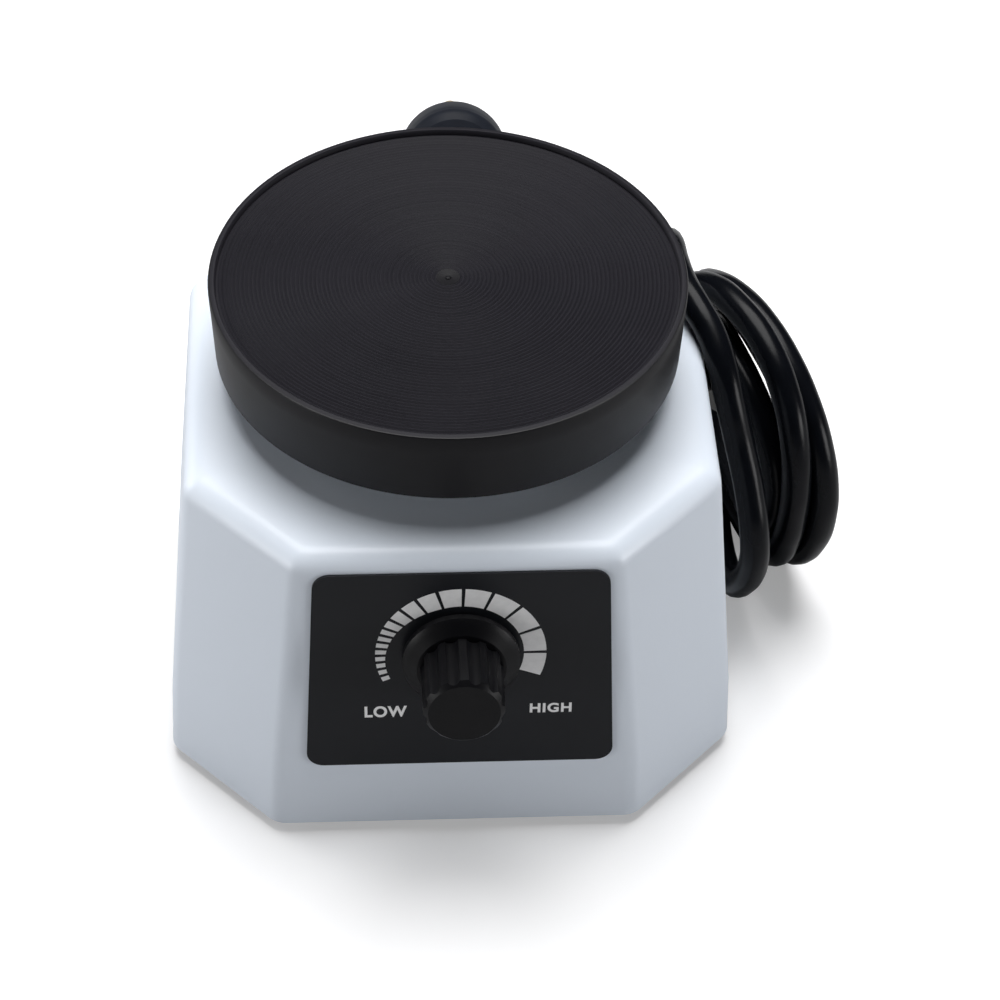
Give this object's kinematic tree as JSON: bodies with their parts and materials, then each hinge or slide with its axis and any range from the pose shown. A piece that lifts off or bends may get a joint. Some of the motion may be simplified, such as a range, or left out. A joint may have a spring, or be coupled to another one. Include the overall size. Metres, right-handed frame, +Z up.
{
  "type": "vortex mixer",
  "caption": "Laboratory vortex mixer: tapered eight-sided plastic housing, round ribbed rubber platform on an eccentric motor drive, speed knob and mains lead.",
  "frame": {"origin": "on the surface the feet stand on, below the middle of the housing and of the object without its mains lead", "axes": "+Z up, -Y towards the control side, +X to the right of someone who faces the controls"},
  "size_m": [0.1568, 0.2609, 0.1055],
  "materials": {
    "housing_plastic": "glossy moulded ABS, pale bluish white",
    "plate_steel": "zinc-plated sheet steel",
    "soft_rubber": "matte black rubber",
    "zinc_steel": "bright zinc-plated steel",
    "dial_black": "black printed dial plate, satin",
    "lamination_steel": "varnished laminations",
    "bobbin_plastic": "moulded nylon",
    "copper_wire": "enamelled copper wire",
    "bronze": "sintered bronze or brass",
    "control_metal": "plated control body",
    "board_green": "green circuit board",
    "component_black": "black moulded plastic",
    "cast_aluminium": "cast aluminium",
    "component_yellow": "yellow film capacitor",
    "fuse_glass": "glass fuse with its clips",
    "terminal_green": "green terminal block",
    "cord_black": "smooth black PVC sheath",
    "plug_black": "satin black moulded plug",
    "pin_brass": "brass pins",
    "bright_steel": "ground steel",
    "fan_plastic": "white nylon",
    "ribbed_rubber": "black rubber with fine round ribs",
    "knob_black": "black satin plastic knob"
  },
  "bodies": {
    "root": {"upper_housing": "housing_plastic", "base_plate": "plate_steel", "foot_1": "soft_rubber", "foot_2": "soft_rubber", "foot_3": "soft_rubber", "foot_4": "soft_rubber", "case_screws": "zinc_steel", "dial_plate": "dial_black", "stator_core": "lamination_steel", "coil_bobbin": "bobbin_plastic", "coil_winding": "copper_wire", "upper_bearing_bracket": "zinc_steel", "lower_bearing_bracket": "zinc_steel", "upper_bush": "bronze", "lower_bush": "bronze", "bracket_bolts": "zinc_steel", "motor_pillars": "zinc_steel", "motor_isolators": "soft_rubber", "motor_bolts": "zinc_steel", "platform_mount_1": "soft_rubber", "platform_mount_2": "soft_rubber", "platform_mount_3": "soft_rubber", "platform_mount_4": "soft_rubber", "mount_base_screws": "zinc_steel", "speed_control": "control_metal", "control_nut": "zinc_steel", "circuit_board": "board_green", "board_screws": "zinc_steel", "triac": "component_black", "heat_sink": "cast_aluminium", "capacitor": "component_yellow", "fuse": "fuse_glass", "terminal_block": "terminal_green", "strain_relief": "cord_black", "cord_lead": "cord_black", "cord_coil": "cord_black", "cord_tail": "cord_black", "cord_tie": "component_black", "plug_body": "plug_black", "plug_blades": "pin_brass", "plug_earth_pin": "pin_brass"},
    "spindle": {"motor_shaft": "bright_steel", "rotor_core": "cast_aluminium", "cooling_fan": "fan_plastic", "eccentric_hub": "bronze", "hub_set_screw": "zinc_steel", "crank_pin": "bright_steel", "bearing_inner_race": "bright_steel", "bearing_balls": "bright_steel"},
    "platform": {"bearing_outer_race": "bright_steel", "platform_hub": "cast_aluminium", "hub_screws": "zinc_steel", "platform_deck": "cast_aluminium", "mount_top_screws": "zinc_steel", "rubber_platform": "ribbed_rubber", "splash_skirt": "soft_rubber"},
    "knob": {"control_knob": "knob_black", "control_shaft": "bright_steel"}
  },
  "joints": [
    {"name": "spindle_spin", "type": "hinge", "parent": "root", "child": "spindle", "pos_m": [0, 0, 0.04], "axis": [0, 0, 1], "continuous": true},
    {"name": "platform_orbit", "type": "hinge", "parent": "spindle", "child": "platform", "pos_m": [0, 0.0015, 0.076], "axis": [0, 0, 1], "continuous": true, "deforming": ["platform_mount_1", "platform_mount_2", "platform_mount_3", "platform_mount_4"]},
    {"name": "knob_turn", "type": "hinge", "parent": "root", "child": "knob", "pos_m": [0.0008, -0.05874, 0.053], "axis": [0, 0.996, -0.0896], "range_deg": [0, 270]}
  ],
  "couplings": [
    {"joint": "platform_orbit", "follows": "spindle_spin", "ratio": -1}
  ]
}
